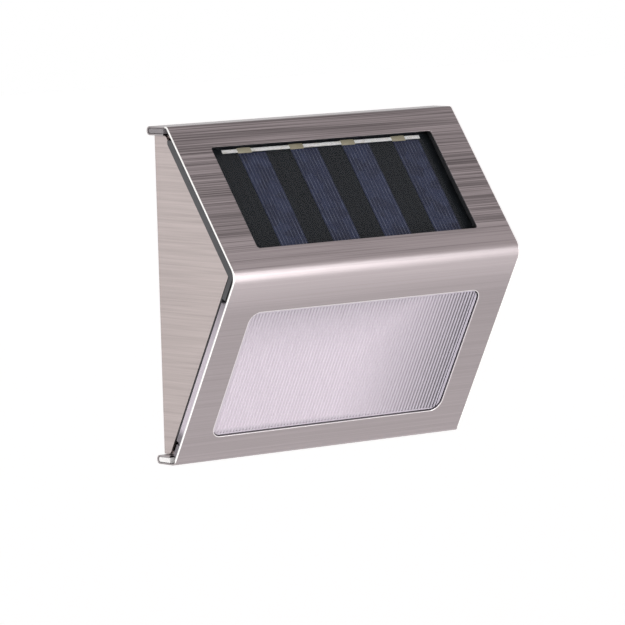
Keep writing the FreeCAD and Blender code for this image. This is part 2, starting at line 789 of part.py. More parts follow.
def rear_case():
    height = body_top - body_foot
    middle = (body_top + body_foot) / 2
    plate = wall_plate(2 * body_half, height, case_corner, case_inner, case_outer, z=middle)
    bay = block(-bay_half - bay_wall, bay_half + bay_wall,
                battery_y - bay_inner - bay_wall, case_inner + fit_gap,
                bay_height - bay_inner - bay_wall, bay_height + bay_inner + bay_wall)
    posts = [rod(board_post_radius, board_front_gap, Vector(x, case_inner, switch_height),
                 Vector(0, -1, 0)) for x in post_places()]
    case = join(plate, bay, *posts)
    bay_room = block(-bay_half, bay_half, battery_y - bay_inner, case_inner + fit_gap,
                     bay_height - bay_inner, bay_height + bay_inner)
    mouth = block(-bay_half, bay_half, case_inner, case_outer, bay_height - bay_inner,
                  bay_height + bay_inner)
    slot_half = switch_knob_length / 2 + switch_travel / 2 + switch_clearance
    slot = wall_plate(2 * slot_half, switch_knob_width + 2 * switch_clearance,
                      switch_slot_radius, case_inner - 1, case_outer + 1, x=switch_x, z=switch_height)
    dish = wall_plate(2 * (slot_half + switch_dish_margin),
                      switch_knob_width + 2 * switch_dish_rise, switch_dish_radius,
                      case_outer - switch_dish_depth, case_outer + 1, x=switch_x,
                      z=switch_height)
    case = carve(case, bay_room, mouth, door_channel(door_clearance, door_travel), slot, dish)
    for p in screw_places():
        mouth = Vector(p.x, case_outer + 1, p.z)
        shaft = small_rod(screw_radius + screw_slack, case_plate + 2, mouth, Vector(0, -1, 0))
        head = small_rod(screw_head_radius + head_clearance, screw_seat_depth + 1, mouth,
                         Vector(0, -1, 0))
        case = carve(case, shaft, head)
    screw_bores = [small_rod(board_screw_radius + screw_play, board_screw_length + 1,
                             Vector(x, board_rear, switch_height), Vector(0, 1, 0))
                   for x in post_places()]
    return carve(case, *screw_bores)


def case_gasket():
    height = body_top - body_foot
    middle = (body_top + body_foot) / 2
    inner = 2 * gasket_width
    ring = wall_plate(2 * body_half, height, case_corner, housing_rear, case_inner, z=middle)
    return ring.cut(wall_plate(2 * body_half - inner, height - inner, 0,
                               housing_rear - 1, case_inner + 1, z=middle))


def pan_screw(radius, length, head_radius, head_height, place, direction):
    """A pan head with a cross recess; place is under the head."""
    head = small_rod(head_radius, head_height, place, direction * -1)
    shank = small_rod(radius, length, place, direction)
    arm, half = head_radius * recess_share, recess_width / 2
    arms = [block(-arm, arm, -half, half, -half, half),
            block(-half, half, -half, half, -arm, arm)]
    top = place - direction * head_height
    return carve(join(head, shank), *[a.translated(top) for a in arms])


def case_screws():
    seat = case_outer - screw_seat_depth
    return Part.makeCompound([pan_screw(screw_radius - screw_play, screw_length - case_reach,
                                        screw_head_radius, screw_head_height,
                                        Vector(p.x, seat, p.z), Vector(0, -1, 0))
                              for p in screw_places()])


# ---- battery, contacts and door ----
def battery_cell():
    start = Vector(-battery_length / 2, battery_y, bay_height)
    along, can = Vector(1, 0, 0), battery_radius - jacket_thickness
    body = turned([(0, can - can_chamfer), (can_chamfer, can),
                   (battery_length - can_chamfer, can), (battery_length, can - can_chamfer)],
                  start, along, 2 * flat_sides)
    return join(body, turned([(battery_length - 1, battery_nub_radius),
                              (battery_length + battery_nub_length, battery_nub_radius)],
                             start, along, flat_sides))


def battery_jacket():
    start = Vector(-battery_length / 2 + can_chamfer, battery_y, bay_height)
    length = battery_length - 2 * can_chamfer
    outside = turned([(0, battery_radius), (length, battery_radius)], start, Vector(1, 0, 0),
                     2 * flat_sides)
    can = battery_radius - jacket_thickness
    return outside.cut(turned([(-1, can), (length + 1, can)], start, Vector(1, 0, 0),
                              2 * flat_sides))


def contact_plate():
    edge = bay_half - contact_thickness - fit_gap
    half = contact_size / 2
    plate = block(edge, edge + contact_thickness, battery_y - half, battery_y + half,
                  bay_height - half, bay_height + half)
    reach = edge - battery_length / 2 - battery_nub_length
    dimple = small_rod(dimple_radius, reach + fit_gap,
                       Vector(edge + fit_gap, battery_y, bay_height),
                       Vector(-1, 0, 0))
    return join(plate, dimple)


def contact_spring():
    """A conical coil from the end plate to the cell's flat end."""
    edge = -bay_half + contact_thickness + fit_gap
    half = contact_size / 2
    plate = block(edge - contact_thickness, edge, battery_y - half, battery_y + half,
                  bay_height - half, bay_height + half)
    room = -battery_length / 2 - edge - spring_wire
    steps = int(spring_turns * turn_steps)

    def on_coil(step):
        share = step / steps
        radius = spring_radius_big + (spring_radius_small - spring_radius_big) * share
        angle = 2 * math.pi / turn_steps * step
        return Vector(edge + spring_wire / 2 + room * share,
                      battery_y + radius * math.cos(angle),
                      bay_height + radius * math.sin(angle))

    coil = tube([on_coil(i) for i in range(steps + 1)], spring_wire / 2, 6)
    return Part.makeCompound([plate, coil])


def battery_door():
    half = door_height / 2
    low = door_floor + fit_gap
    plate = block(-door_length / 2, door_length / 2, low, low + door_thickness,
                  bay_height - half, bay_height + half)
    tongue_low = door_floor + door_tongue_rise
    tongue = block(-door_length / 2, door_length / 2, tongue_low,
                   tongue_low + door_tongue_thickness,
                   bay_height - half - door_tongue + door_clearance,
                   bay_height + half + door_tongue - door_clearance)
    door = join(plate, tongue)
    grip = door_grip_length / 2
    ribs = [block(x, x + door_grip_width, case_outer - fit_gap, case_outer + door_grip_height,
                  bay_height - grip, bay_height + grip)
            for x in [door_length / 2 - door_grip_inset - i * door_grip_pitch
                      for i in range(door_grip_count)]]
    return join(door, *ribs)


# ---- switch and control board ----
board_front_gap = switch_body_depth + 2 * fit_gap
board_rear = case_inner - board_front_gap
board_face = board_rear - board_thickness - fit_gap / 2
lead_z = switch_height - lead_drop
roof_back = on_slope(roof, 0, -panel_floor)
roof_heading = on_slope(roof, 1, 0) - on_slope(roof, 0, 0)
pocket_back_y = meet(roof_back, roof_heading, Vector(0, 0, lead_z), Vector(0, 1, 0)).y + 3 * fit_gap


def post_places():
    reach = board_width / 2 - post_inset
    return [board_centre_x - reach, board_centre_x + reach]


def switch_body():
    half = switch_body_length / 2
    shell = block(switch_x - half, switch_x + half, board_rear + fit_gap / 2, case_inner - fit_gap,
                  switch_height - switch_body_width / 2, switch_height + switch_body_width / 2)
    slot_half = switch_knob_length / 2 + switch_travel / 2 + switch_clearance
    half_room = switch_knob_width / 2 + switch_clearance
    room = block(switch_x - slot_half, switch_x + slot_half, case_inner - switch_room_depth,
                 case_inner, switch_height - half_room, switch_height + half_room)
    return shell.cut(room)


def switch_knob():
    left = knob_left - switch_knob_length / 2
    half = switch_knob_width / 2
    top = case_outer + switch_knob_reach
    foot_level = case_inner - switch_room_depth + switch_clearance
    knob = block(left, left + switch_knob_length, foot_level, top,
                 switch_height - half, switch_height + half)
    notches = [block(x - notch_width / 2, x + notch_width / 2, top - notch_depth, top + 1,
                     switch_height - half - 1, switch_height + half + 1)
               for x in (knob_left - notch_pitch, knob_left, knob_left + notch_pitch)]
    return carve(knob, *notches)


def control_board():
    left = board_centre_x - board_width / 2
    board = block(left, left + board_width, board_rear - board_thickness, board_rear,
                  switch_height - board_height / 2, switch_height + board_height / 2)
    holes = [rod(board_screw_radius + screw_slack, 3 * board_thickness,
                 Vector(x, board_rear + board_thickness, switch_height), Vector(0, -1, 0))
             for x in post_places()]
    return carve(board, *holes)


def board_screws():
    return Part.makeCompound([pan_screw(board_screw_radius, board_screw_length,
                                        2 * board_screw_radius, board_screw_radius,
                                        Vector(x, board_rear - board_thickness, switch_height),
                                        Vector(0, 1, 0)) for x in post_places()])


def board_components():
    """A driver chip with its legs, a coil and a capacitor, on the side facing the wall."""
    x = board_centre_x - chip_offset
    face = board_rear
    chip = block(x - chip_length / 2, x + chip_length / 2, face + fit_gap, face + fit_gap + chip_height,
                 switch_height - chip_width / 2, switch_height + chip_width / 2)
    legs = [block(x + i * leg_pitch - leg_width / 2, x + i * leg_pitch + leg_width / 2,
                  face, face + chip_height / 4, switch_height + side * leg_reach - leg_pitch / 2,
                  switch_height + side * leg_reach + leg_pitch / 2)
            for i in (-1.5, -0.5, 0.5, 1.5) for side in (-1, 1)]
    chip = join(chip, *legs)
    coil_x = x + chip_length / 2 + 2 * coil_radius
    capacitor_x = coil_x + coil_radius + 2 * capacitor_radius
    coil = rod(coil_radius, coil_height, Vector(coil_x, face, switch_height), Vector(0, 1, 0))
    capacitor = rod(capacitor_radius, capacitor_height, Vector(capacitor_x, face, switch_height),
                    Vector(0, 1, 0))
    return Part.makeCompound([chip, coil, capacitor])


def lead(points, radius):
    """A tube along straight runs joined by arcs nearly as large as the runs allow."""
    radii = [0]
    for before, here, after in zip(points, points[1:], points[2:]):
        back, ahead = before - here, after - here
        half = back.getAngle(ahead) / 2
        radii.append(0.45 * min(back.Length, ahead.Length) * math.tan(half))
    radii.append(0)
    stops = [points[0]]
    for edge in rounded_wire(points, radii).Edges:
        count = 2 if edge.Curve.TypeId == "Part::GeomLine" else 5
        stops += edge.discretize(count)[1:]
    return tube(stops, radius, 8)


def panel_lead(x):
    """From the panel's back, through the pocket, to the board."""
    start, end = Vector(x, pocket_back_y, lead_z), Vector(x, board_face, lead_z)
    third = (end.y - start.y) / 3
    return lead([start, start + Vector(0, third, -third / 2), end - Vector(0, third, 0), end],
                lead_radius)


def lamp_lead(side):
    """From the light board, up beside the battery bay, to the control board."""
    light_end = lens_window_width / 2 - led_board_margin - lamp_lead_inset
    board_end = board_centre_x + board_width / 2 - board_lead_inset
    start = Vector(light_end + side * lead_pitch / 2, led_y,
                   led_board_low + led_board_thickness + fit_gap / 2)
    end = Vector(board_end + side * lead_pitch / 2, board_face, lead_z)
    rise = (end.z - start.z) / 2
    back = (end.y - start.y) / 2
    return lead([start, start + Vector(0, 0, rise), end - Vector(0, back, 0), end],
                lead_radius)


save("front_cover", front_cover())
save("wall_bracket", wall_bracket())
save("light_housing", light_housing())
save("rear_case", rear_case())
save("case_gasket", case_gasket())
save("case_screws", case_screws())
save("panel_seal", panel_seal())
save("panel_board", panel_layer(-panel_floor, board_top))
save("solar_cells", solar_cells())
save("cell_tabs", cell_tabs())
save("cell_ribbons", cell_ribbons())
save("panel_resin", panel_layer(board_top + cell_thickness, -panel_recess))
save("lens", lens())
save("lens_seal", lens_seal())
save("reflector", reflector())
save("led_board", led_board())
save("leds", leds())
save("control_board", control_board())
save("board_components", board_components())
save("board_screws", board_screws())
save("switch_body", switch_body())
save("switch_knob", switch_knob())
save("battery_cell", battery_cell())
save("battery_jacket", battery_jacket())
save("contact_plate", contact_plate())
save("contact_spring", contact_spring())
save("battery_door", battery_door())
save("panel_lead_red", panel_lead(lead_x - lead_pitch / 2))
save("panel_lead_black", panel_lead(lead_x + lead_pitch / 2))
save("lamp_lead_red", lamp_lead(-1))
save("lamp_lead_black", lamp_lead(1))
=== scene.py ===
import json
import math
import bmesh
import bpy
from mathutils import Matrix, Vector


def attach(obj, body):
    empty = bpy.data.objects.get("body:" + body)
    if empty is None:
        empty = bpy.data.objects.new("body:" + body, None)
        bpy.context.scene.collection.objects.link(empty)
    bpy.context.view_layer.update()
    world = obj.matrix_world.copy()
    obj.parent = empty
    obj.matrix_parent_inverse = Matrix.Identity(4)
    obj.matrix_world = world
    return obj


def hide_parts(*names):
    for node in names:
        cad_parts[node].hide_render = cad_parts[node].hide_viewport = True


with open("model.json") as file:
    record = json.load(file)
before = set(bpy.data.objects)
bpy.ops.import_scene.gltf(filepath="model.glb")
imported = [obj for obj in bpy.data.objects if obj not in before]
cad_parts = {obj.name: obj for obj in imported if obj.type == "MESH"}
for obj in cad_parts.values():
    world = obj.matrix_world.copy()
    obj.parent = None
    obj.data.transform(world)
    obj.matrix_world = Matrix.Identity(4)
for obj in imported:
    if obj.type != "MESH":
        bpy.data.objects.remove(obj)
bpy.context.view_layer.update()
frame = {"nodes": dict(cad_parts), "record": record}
mm = 0.001
body = "light"
print("frame loaded:", len(frame["nodes"]), "nodes")

# the photograph's standpoint, measured from the light's corners
camera = {"azimuth": -38.55, "elevation": 5.46, "roll": -1.66, "distance": 1.555,
          "target": (-0.0177, -0.030, -0.0332), "lens": 280.7, "sensor": 36.0,
          "nearest": 0.05}

# the cover's sharp corners in side view, which set the two slopes
slopes = {"roofTop": (0, -10.5 * mm, 28 * mm), "bend": (0, -44 * mm, -18 * mm),
          "foot": (0, -9 * mm, -80 * mm)}


def slopeFrame(low, high):
    # x along the width, y up the slope, z out of the cover
    low, high = Vector(slopes[low]), Vector(slopes[high])
    along = (high - low).normalized()
    out = Vector((1, 0, 0)).cross(along)
    return Matrix(((1, along.x, out.x, low.x), (0, along.y, out.y, low.y),
                   (0, along.z, out.z, low.z), (0, 0, 0, 1)))


roofFrame = slopeFrame("bend", "roofTop")
frontFrame = slopeFrame("foot", "bend")


def colour(hexText, alpha=1.0):
    values = [int(hexText[i:i + 2], 16) / 255 for i in (0, 2, 4)]
    linear = [v / 12.92 if v <= 0.04045 else ((v + 0.055) / 1.055) ** 2.4 for v in values]
    return (*linear, alpha)


def wire(tree, node, links):
    for key, source in links.items():
        socket = source if isinstance(source, bpy.types.NodeSocket) else source.outputs[0]
        tree.links.new(socket, node.inputs[key])


def addNode(tree, kind, settings=None, links=None):
    # a setting goes to the input it names, stops to a colour ramp, the rest to the node
    made = tree.nodes.new(kind)
    for key, value in (settings or {}).items():
        if key == "stops":
            for i, (place, tone) in enumerate(value):
                stop = made.color_ramp.elements[i] if i < 2 else made.color_ramp.elements.new(place)
                stop.position, stop.color = place, colour(tone)
        elif isinstance(key, int) or key in made.inputs:
            made.inputs[key].default_value = value
        else:
            setattr(made, key, value)
    wire(tree, made, links or {})
    return made


def newObject(name, data):
    made = bpy.data.objects.new(name, data)
    bpy.context.scene.collection.objects.link(made)
    return made


def startMaterial(name, settings):
    material = bpy.data.materials.new(name)
    material.use_nodes = True
    tree = material.node_tree
    tree.nodes.clear()
    shader = addNode(tree, "ShaderNodeBsdfPrincipled", settings)
    addNode(tree, "ShaderNodeOutputMaterial", None, {"Surface": shader})
    return material, tree, shader


def grainOf(tree, size, detail=2.0):
    # cloudy grain on Object coordinates; size is the real length of a grain along each axis
    place = addNode(tree, "ShaderNodeTexCoord")
    fitted = addNode(tree, "ShaderNodeMapping", {"Scale": [1 / length for length in size]},
                     {"Vector": place.outputs["Object"]})
    return addNode(tree, "ShaderNodeTexNoise", {"Scale": 1.0, "Detail": detail,
                                                "Roughness": 0.55}, {"Vector": fitted})


# the tones for the cut edges and round the lens window are painted highlights, and the band beside
# the bend is a painted reflection
cover = {"light": "ADA4A6", "dark": "666061", "edge": "FBFAF8", "rim": "CFCACB",
         "hemEdge": "A39D9E", "roughness": 0.31, "belt": 0.5 * mm, "grit": 0.16 * mm,
         "run": 90 * mm, "bend": -18 * mm, "blendBelow": 1 * mm, "blendAbove": 4 * mm,
         "frontShare": 0.12, "beltShare": 0.55, "contrast": 0.12, "edgeAt": 58.72 * mm,
         "paintedReflectionAt": -17 * mm, "paintedReflectionReach": 16 * mm, "paintedReflectionShare": 0.5,
         "hemDepth": 9.5 * mm, "rimReach": 0.27 * mm}
lensWindow = {"halfWidth": 47.5 * mm, "middle": 33.05 * mm, "halfLength": 23.55 * mm,
              "radius": 3.8 * mm}


def besideWindow(tree, place, placement, window, reach):
    # 1 within reach of a rounded window's edge, measured in the slope's own axes
    up = placement.to_3x3() @ Vector((0, 1, 0))
    moved = addNode(tree, "ShaderNodeVectorMath", {
        "operation": "SUBTRACT", 1: placement.translation + up * window["middle"]},
        {0: place.outputs["Object"]})
    rise = addNode(tree, "ShaderNodeVectorMath", {"operation": "DOT_PRODUCT", 1: up}, {0: moved})
    across = addNode(tree, "ShaderNodeSeparateXYZ", None, {"Vector": moved})
    flat = addNode(tree, "ShaderNodeCombineXYZ", None, {"X": across.outputs["X"],
                                                        "Y": rise.outputs["Value"]})
    folded = addNode(tree, "ShaderNodeVectorMath", {"operation": "ABSOLUTE"}, {0: flat})
    radius = window["radius"]
    past = addNode(tree, "ShaderNodeVectorMath", {"operation": "SUBTRACT", 1: (
        window["halfWidth"] - radius, window["halfLength"] - radius, 0)}, {0: folded})
    corner = addNode(tree, "ShaderNodeVectorMath", {"operation": "MAXIMUM"}, {0: past})
    gap = addNode(tree, "ShaderNodeVectorMath", {"operation": "LENGTH"}, {0: corner})
    return addNode(tree, "ShaderNodeMath", {"operation": "LESS_THAN", 1: radius + reach},
                   {0: gap.outputs["Value"]})


def coverSteel(values):
    # belt-brushed 304 stainless sheet: coarse belt marks on the roof, finer ones on the front; the
    # sheared edges are painted near white as a painted highlight; the grit is drawn coarse enough
    # to show. The paler band beside the bend is a painted reflection
    material, tree, shader = startMaterial("brushedStainlessCover", {
        "Metallic": 1.0, "Roughness": values["roughness"]})
    fine = grainOf(tree, (values["run"], values["grit"], values["grit"]), 3.0)
    belt = grainOf(tree, (values["run"], values["belt"], values["belt"]))
    place = addNode(tree, "ShaderNodeTexCoord")
    parts = addNode(tree, "ShaderNodeSeparateXYZ", None, {"Vector": place.outputs["Object"]})
    spread = addNode(tree, "ShaderNodeMapRange", {
        "From Min": values["bend"] - values["blendBelow"],
        "From Max": values["bend"] + values["blendAbove"],
        "To Min": values["frontShare"], "To Max": 1.0}, {"Value": parts.outputs["Z"]})
    mixed = addNode(tree, "ShaderNodeMix", {"data_type": "FLOAT", 0: values["beltShare"]},
                    {2: fine, 3: belt})
    centred = addNode(tree, "ShaderNodeMath", {"operation": "SUBTRACT", 1: 0.5}, {0: mixed})
    contrast = addNode(tree, "ShaderNodeMath", {"operation": "MULTIPLY"},
                       {0: centred, 1: spread})
    lifted = addNode(tree, "ShaderNodeMapRange", {
        "From Min": -values["contrast"], "From Max": values["contrast"]}, {"Value": contrast})
    # a paler band beside the bend is painted into the tone: a painted reflection
    away = addNode(tree, "ShaderNodeMath", {"operation": "SUBTRACT", 1: values["paintedReflectionAt"]},
                   {0: parts.outputs["Z"]})
    distance = addNode(tree, "ShaderNodeMath", {"operation": "ABSOLUTE"}, {0: away})
    paintedReflectionBand = addNode(tree, "ShaderNodeMapRange", {
        "interpolation_type": "SMOOTHSTEP", "From Max": values["paintedReflectionReach"],
        "To Min": values["paintedReflectionShare"], "To Max": 0.0}, {"Value": distance})
    withPaintedReflection = addNode(tree, "ShaderNodeMath", {"operation": "ADD"}, {0: lifted, 1: paintedReflectionBand})
    tone = addNode(tree, "ShaderNodeValToRGB", {
        "stops": [(0.0, values["dark"]), (1.0, values["light"])]}, {"Fac": withPaintedReflection})
    # the sheet's cut edges are painted near white: a painted highlight, left off at the hems' ends
    # by the wall
    side = addNode(tree, "ShaderNodeMath", {"operation": "ABSOLUTE"}, {0: parts.outputs["X"]})
    sheared = addNode(tree, "ShaderNodeMath", {"operation": "GREATER_THAN",
                                               1: values["edgeAt"]}, {0: side})
    nearWall = addNode(tree, "ShaderNodeMath", {"operation": "GREATER_THAN",
                                                1: -values["hemDepth"]}, {0: parts.outputs["Y"]})
    edgeHighlightTone = addNode(tree, "ShaderNodeMix", {    # the hems' ends keep a plain steel grey, without the painted highlight
        "data_type": "RGBA", 6: colour(values["edge"]), 7: colour(values["hemEdge"])},
        {0: nearWall})
    withEdgeHighlight = addNode(tree, "ShaderNodeMix", {"data_type": "RGBA"},
                    {0: sheared, 6: tone, 7: edgeHighlightTone.outputs[2]})
    # a thin band round the lens window's cut edge is painted pale: a painted highlight
    rim = besideWindow(tree, place, frontFrame, lensWindow, values["rimReach"])
    painted = addNode(tree, "ShaderNodeMix", {"data_type": "RGBA", 7: colour(values["rim"])},
                      {0: rim, 6: withEdgeHighlight.outputs[2]})
    scratch = addNode(tree, "ShaderNodeBump", {"Strength": 0.15, "Distance": 0.05 * mm},
                      {"Height": fine})
    ridge = addNode(tree, "ShaderNodeBump", {"Strength": 0.08, "Distance": 0.15 * mm},
                    {"Height": belt, "Normal": scratch})
    wire(tree, shader, {"Base Color": painted.outputs[2], "Normal": ridge})
    return material


bracket = {"light": "BEB3B1", "dark": "AAA09E", "roughness": (0.36, 0.46),
           "belt": 0.9 * mm, "grit": 0.2 * mm, "run": 40 * mm, "patch": 40 * mm}


def bracketSteel(values):
    # the same sheet, only faintly brushed along the depth of the wings, so it stays plain;
    # its grit too is drawn coarse enough to show
    material, tree, shader = startMaterial("brushedStainlessBracket", {"Metallic": 1.0,
                                                                       "Anisotropic": 0.4})
    fine = grainOf(tree, (values["run"], values["run"], values["grit"]), 3.0)
    belt = grainOf(tree, (values["run"], values["run"], values["belt"]))
    patch = grainOf(tree, (values["patch"],) * 3)
    mixed = addNode(tree, "ShaderNodeMix", {"data_type": "FLOAT", 0: 0.5}, {2: fine, 3: belt})
    tone = addNode(tree, "ShaderNodeValToRGB", {
        "stops": [(0.34, values["dark"]), (0.66, values["light"])]}, {"Fac": mixed})
    low, high = values["roughness"]
    rough = addNode(tree, "ShaderNodeMapRange", {"From Min": 0.3, "From Max": 0.7,
                                                 "To Min": low, "To Max": high}, {"Value": patch})
    scratch = addNode(tree, "ShaderNodeBump", {"Strength": 0.12, "Distance": 0.05 * mm},
                      {"Height": fine})
    wire(tree, shader, {"Base Color": tone, "Roughness": rough, "Normal": scratch})
    return material


handled = 16 * mm    # size of the marks that hands leave on plastic
plastics = {
    "mouldedBlackAbs": {"base": "37373A", "worn": "444447", "roughness": 0.42, "grain": 0.35 * mm},
    "doorAbs": {"base": "232326", "worn": "2E2E31", "roughness": 0.44, "grain": 0.35 * mm},
    "switchNylon": {"base": "1A1A1B", "worn": "262627", "roughness": 0.40, "grain": 0.3 * mm},
    "whiteReflectorAbs": {"base": "E9E8EA", "worn": "F2F1F3", "roughness": 0.35,
                          "grain": 0.5 * mm},
    "siliconeRubber": {"base": "161617", "worn": "202022", "roughness": 0.7, "grain": 0.5 * mm},
    "closedCellFoam": {"base": "1C1C1D", "worn": "2C2C2D", "roughness": 0.9, "grain": 0.25 * mm},
    "mouldedEpoxy": {"base": "1A1B1D", "worn": "262729", "roughness": 0.5, "grain": 0.2 * mm},
    "redPvc": {"base": "A8150F", "worn": "B8241C", "roughness": 0.35, "grain": 0.6 * mm},
    "blackPvc": {"base": "1A1A1A", "worn": "262626", "roughness": 0.35, "grain": 0.6 * mm},
    "firedSilverTab": {"base": "A59D84", "worn": "C2BBA5", "roughness": 0.4, "grain": 0.3 * mm},
    # the two fillers in the folds are painted shade and a painted highlight
    "paintedShadeFiller": {"base": "7E7A7C", "worn": "928D90", "roughness": 0.5, "grain": 0.5 * mm},
    "paintedHighlightFiller": {"base": "F6F5F4", "worn": "FCFBFA", "roughness": 0.4, "grain": 0.5 * mm},
    "greenPvcSleeve": {"base": "1E7D3C", "worn": "268A46", "roughness": 0.28, "grain": 1.5 * mm},
}


def mouldedPlastic(name, values):
    # spark-eroded mould skin: a soft grain that breaks the gloss, paler where hands rub it
    material, tree, shader = startMaterial(name, {"IOR": 1.53, "Roughness": values["roughness"]})
    size = values["grain"]
    grain = grainOf(tree, (size,) * 3)
    broad = grainOf(tree, (handled,) * 3, 3.0)
    tone = addNode(tree, "ShaderNodeValToRGB", {
        "stops": [(0.35, values["base"]), (0.7, values["worn"])]}, {"Fac": broad})
    skin = addNode(tree, "ShaderNodeBump", {"Strength": 0.25, "Distance": size * 0.12},
                   {"Height": grain})
    wire(tree, shader, {"Base Color": tone, "Normal": skin})
    return material


clouded = 2.5 * mm    # size of the clouds in a plating
metals = {
    "zincPlate": {"base": "B9B8B2", "worn": "A09F99", "roughness": 0.32},
    "printedSilver": {"base": "8D93A8", "worn": "555A6E", "roughness": 0.5},
    "nickelCan": {"base": "C4C2BC", "worn": "ADABA5", "roughness": 0.25},
    "nickelContact": {"base": "C9C6BE", "worn": "B3AFA6", "roughness": 0.22},
    "tinnedShell": {"base": "BDBBB5", "worn": "A3A19B", "roughness": 0.35},
}


def platedMetal(name, values):
    # thin plating over rolled stock: clouded a little, so no face is one even tone
    material, tree, shader = startMaterial(name, {"Metallic": 1.0,
                                                  "Roughness": values["roughness"]})
    cloud = grainOf(tree, (clouded,) * 3, 4.0)
    tone = addNode(tree, "ShaderNodeValToRGB", {
        "stops": [(0.35, values["worn"]), (0.65, values["base"])]}, {"Fac": cloud})
    dents = addNode(tree, "ShaderNodeBump", {"Strength": 0.06, "Distance": 0.1 * mm},
                    {"Height": cloud})
    wire(tree, shader, {"Base Color": tone, "Normal": dents})
    return material


laminates = {"blackSolderMask": {"base": "1D2023", "mask": "212427", "thread": 0.5 * mm,
                                 "ior": 1.12},    # it lies in the resin, so it hardly shines
             "greenSolderMask": {"base": "0F4A24", "mask": "135A2C", "thread": 0.5 * mm,
                                 "ior": 1.5}}


def maskedLaminate(name, values):
    # woven glass under solder mask: the weave shows as a faint ripple, drawn a little coarse
    material, tree, shader = startMaterial(name, {"Roughness": 0.45, "IOR": values["ior"]})
    place = addNode(tree, "ShaderNodeTexCoord")
    weave = addNode(tree, "ShaderNodeTexWave", {"Scale": 1 / values["thread"] / 20,
                                                "Distortion": 0.4},
                    {"Vector": place.outputs["Object"]})
    tone = addNode(tree, "ShaderNodeValToRGB", {
        "stops": [(0.2, values["base"]), (0.8, values["mask"])]}, {"Fac": weave.outputs["Fac"]})
    ripple = addNode(tree, "ShaderNodeBump", {"Strength": 0.05, "Distance": 0.05 * mm},
                     {"Height": weave.outputs["Fac"]})
    wire(tree, shader, {"Base Color": tone, "Normal": ripple})
    return material


ribbon = {"dull": "E4DFD2", "paintedGlint": "FFFFFF", "wave": (4 * mm, 1.1 * mm, 1.1 * mm)}


def tinnedRibbon(values):
    # dipped copper strip: the tin lies in soft waves; its near-white tone, pure white on the
    # swells, is a painted highlight, so it flashes white from most sides
    material, tree, shader = startMaterial("tinnedRibbon", {"Metallic": 0.15, "Roughness": 0.4})
    wave = grainOf(tree, values["wave"])
    tone = addNode(tree, "ShaderNodeValToRGB", {
        "stops": [(0.25, values["dull"]), (0.5, values["paintedGlint"])]}, {"Fac": wave})
    swell = addNode(tree, "ShaderNodeBump", {"Strength": 0.3, "Distance": 0.2 * mm},
                    {"Height": wave})
    wire(tree, shader, {"Base Color": tone, "Normal": swell})
    return material


cell = {"deep": "2A2E42", "pale": "343A52", "grain": 4 * mm}


def siliconCell(values):
    # blue-black nitride over polycrystalline silicon: angular grains a few millimetres long,
    # with little shine of its own under the resin
    material, tree, shader = startMaterial("siliconNitride", {"Roughness": 0.35, "IOR": 1.2})
    place = addNode(tree, "ShaderNodeTexCoord")
    grains = addNode(tree, "ShaderNodeTexVoronoi", {"Scale": 1 / values["grain"]},
                     {"Vector": place.outputs["Object"]})
    parts = addNode(tree, "ShaderNodeSeparateColor", None, {"Color": grains.outputs["Color"]})
    tone = addNode(tree, "ShaderNodeValToRGB", {
        "stops": [(0.1, values["deep"]), (0.9, values["pale"])]}, {"Fac": parts})
    wire(tree, shader, {"Base Color": tone})
    return material


resin = {"thin": "111317", "thick": "181B1F", "swell": 11 * mm}


def clearResin(values):
    # poured epoxy, a little uneven on top; clear enough that the cells look wet and black
    material, tree, shader = startMaterial("clearCastEpoxy", {"Roughness": 0.05, "IOR": 1.5,
                                                              "Alpha": 0.14})
    swell = grainOf(tree, (values["swell"],) * 3)
    tone = addNode(tree, "ShaderNodeValToRGB", {
        "stops": [(0.3, values["thin"]), (0.7, values["thick"])]}, {"Fac": swell})
    uneven = addNode(tree, "ShaderNodeBump", {"Strength": 0.05, "Distance": 0.3 * mm},
                     {"Height": swell})
    wire(tree, shader, {"Base Color": tone, "Normal": uneven})
    return material


lens = {"ridge": "AFA6AF", "groove": "C8BFC9", "dimRidge": "9C96A1", "dimGroove": "08080D",
        "roughness": 0.32, "field": -0.60 * mm, "relief": 0.35 * mm, "frost": 0.33 * mm,
        "endFrom": 0 * mm, "endTo": 48 * mm, "topFrom": 32 * mm, "topTo": 61 * mm,
        "footFrom": 12 * mm, "footTo": 9.3 * mm, "ribShare": 0.6, "endPower": 1.4,
        "topPower": 2.0, "topMost": 0.8, "footMost": 0.7}


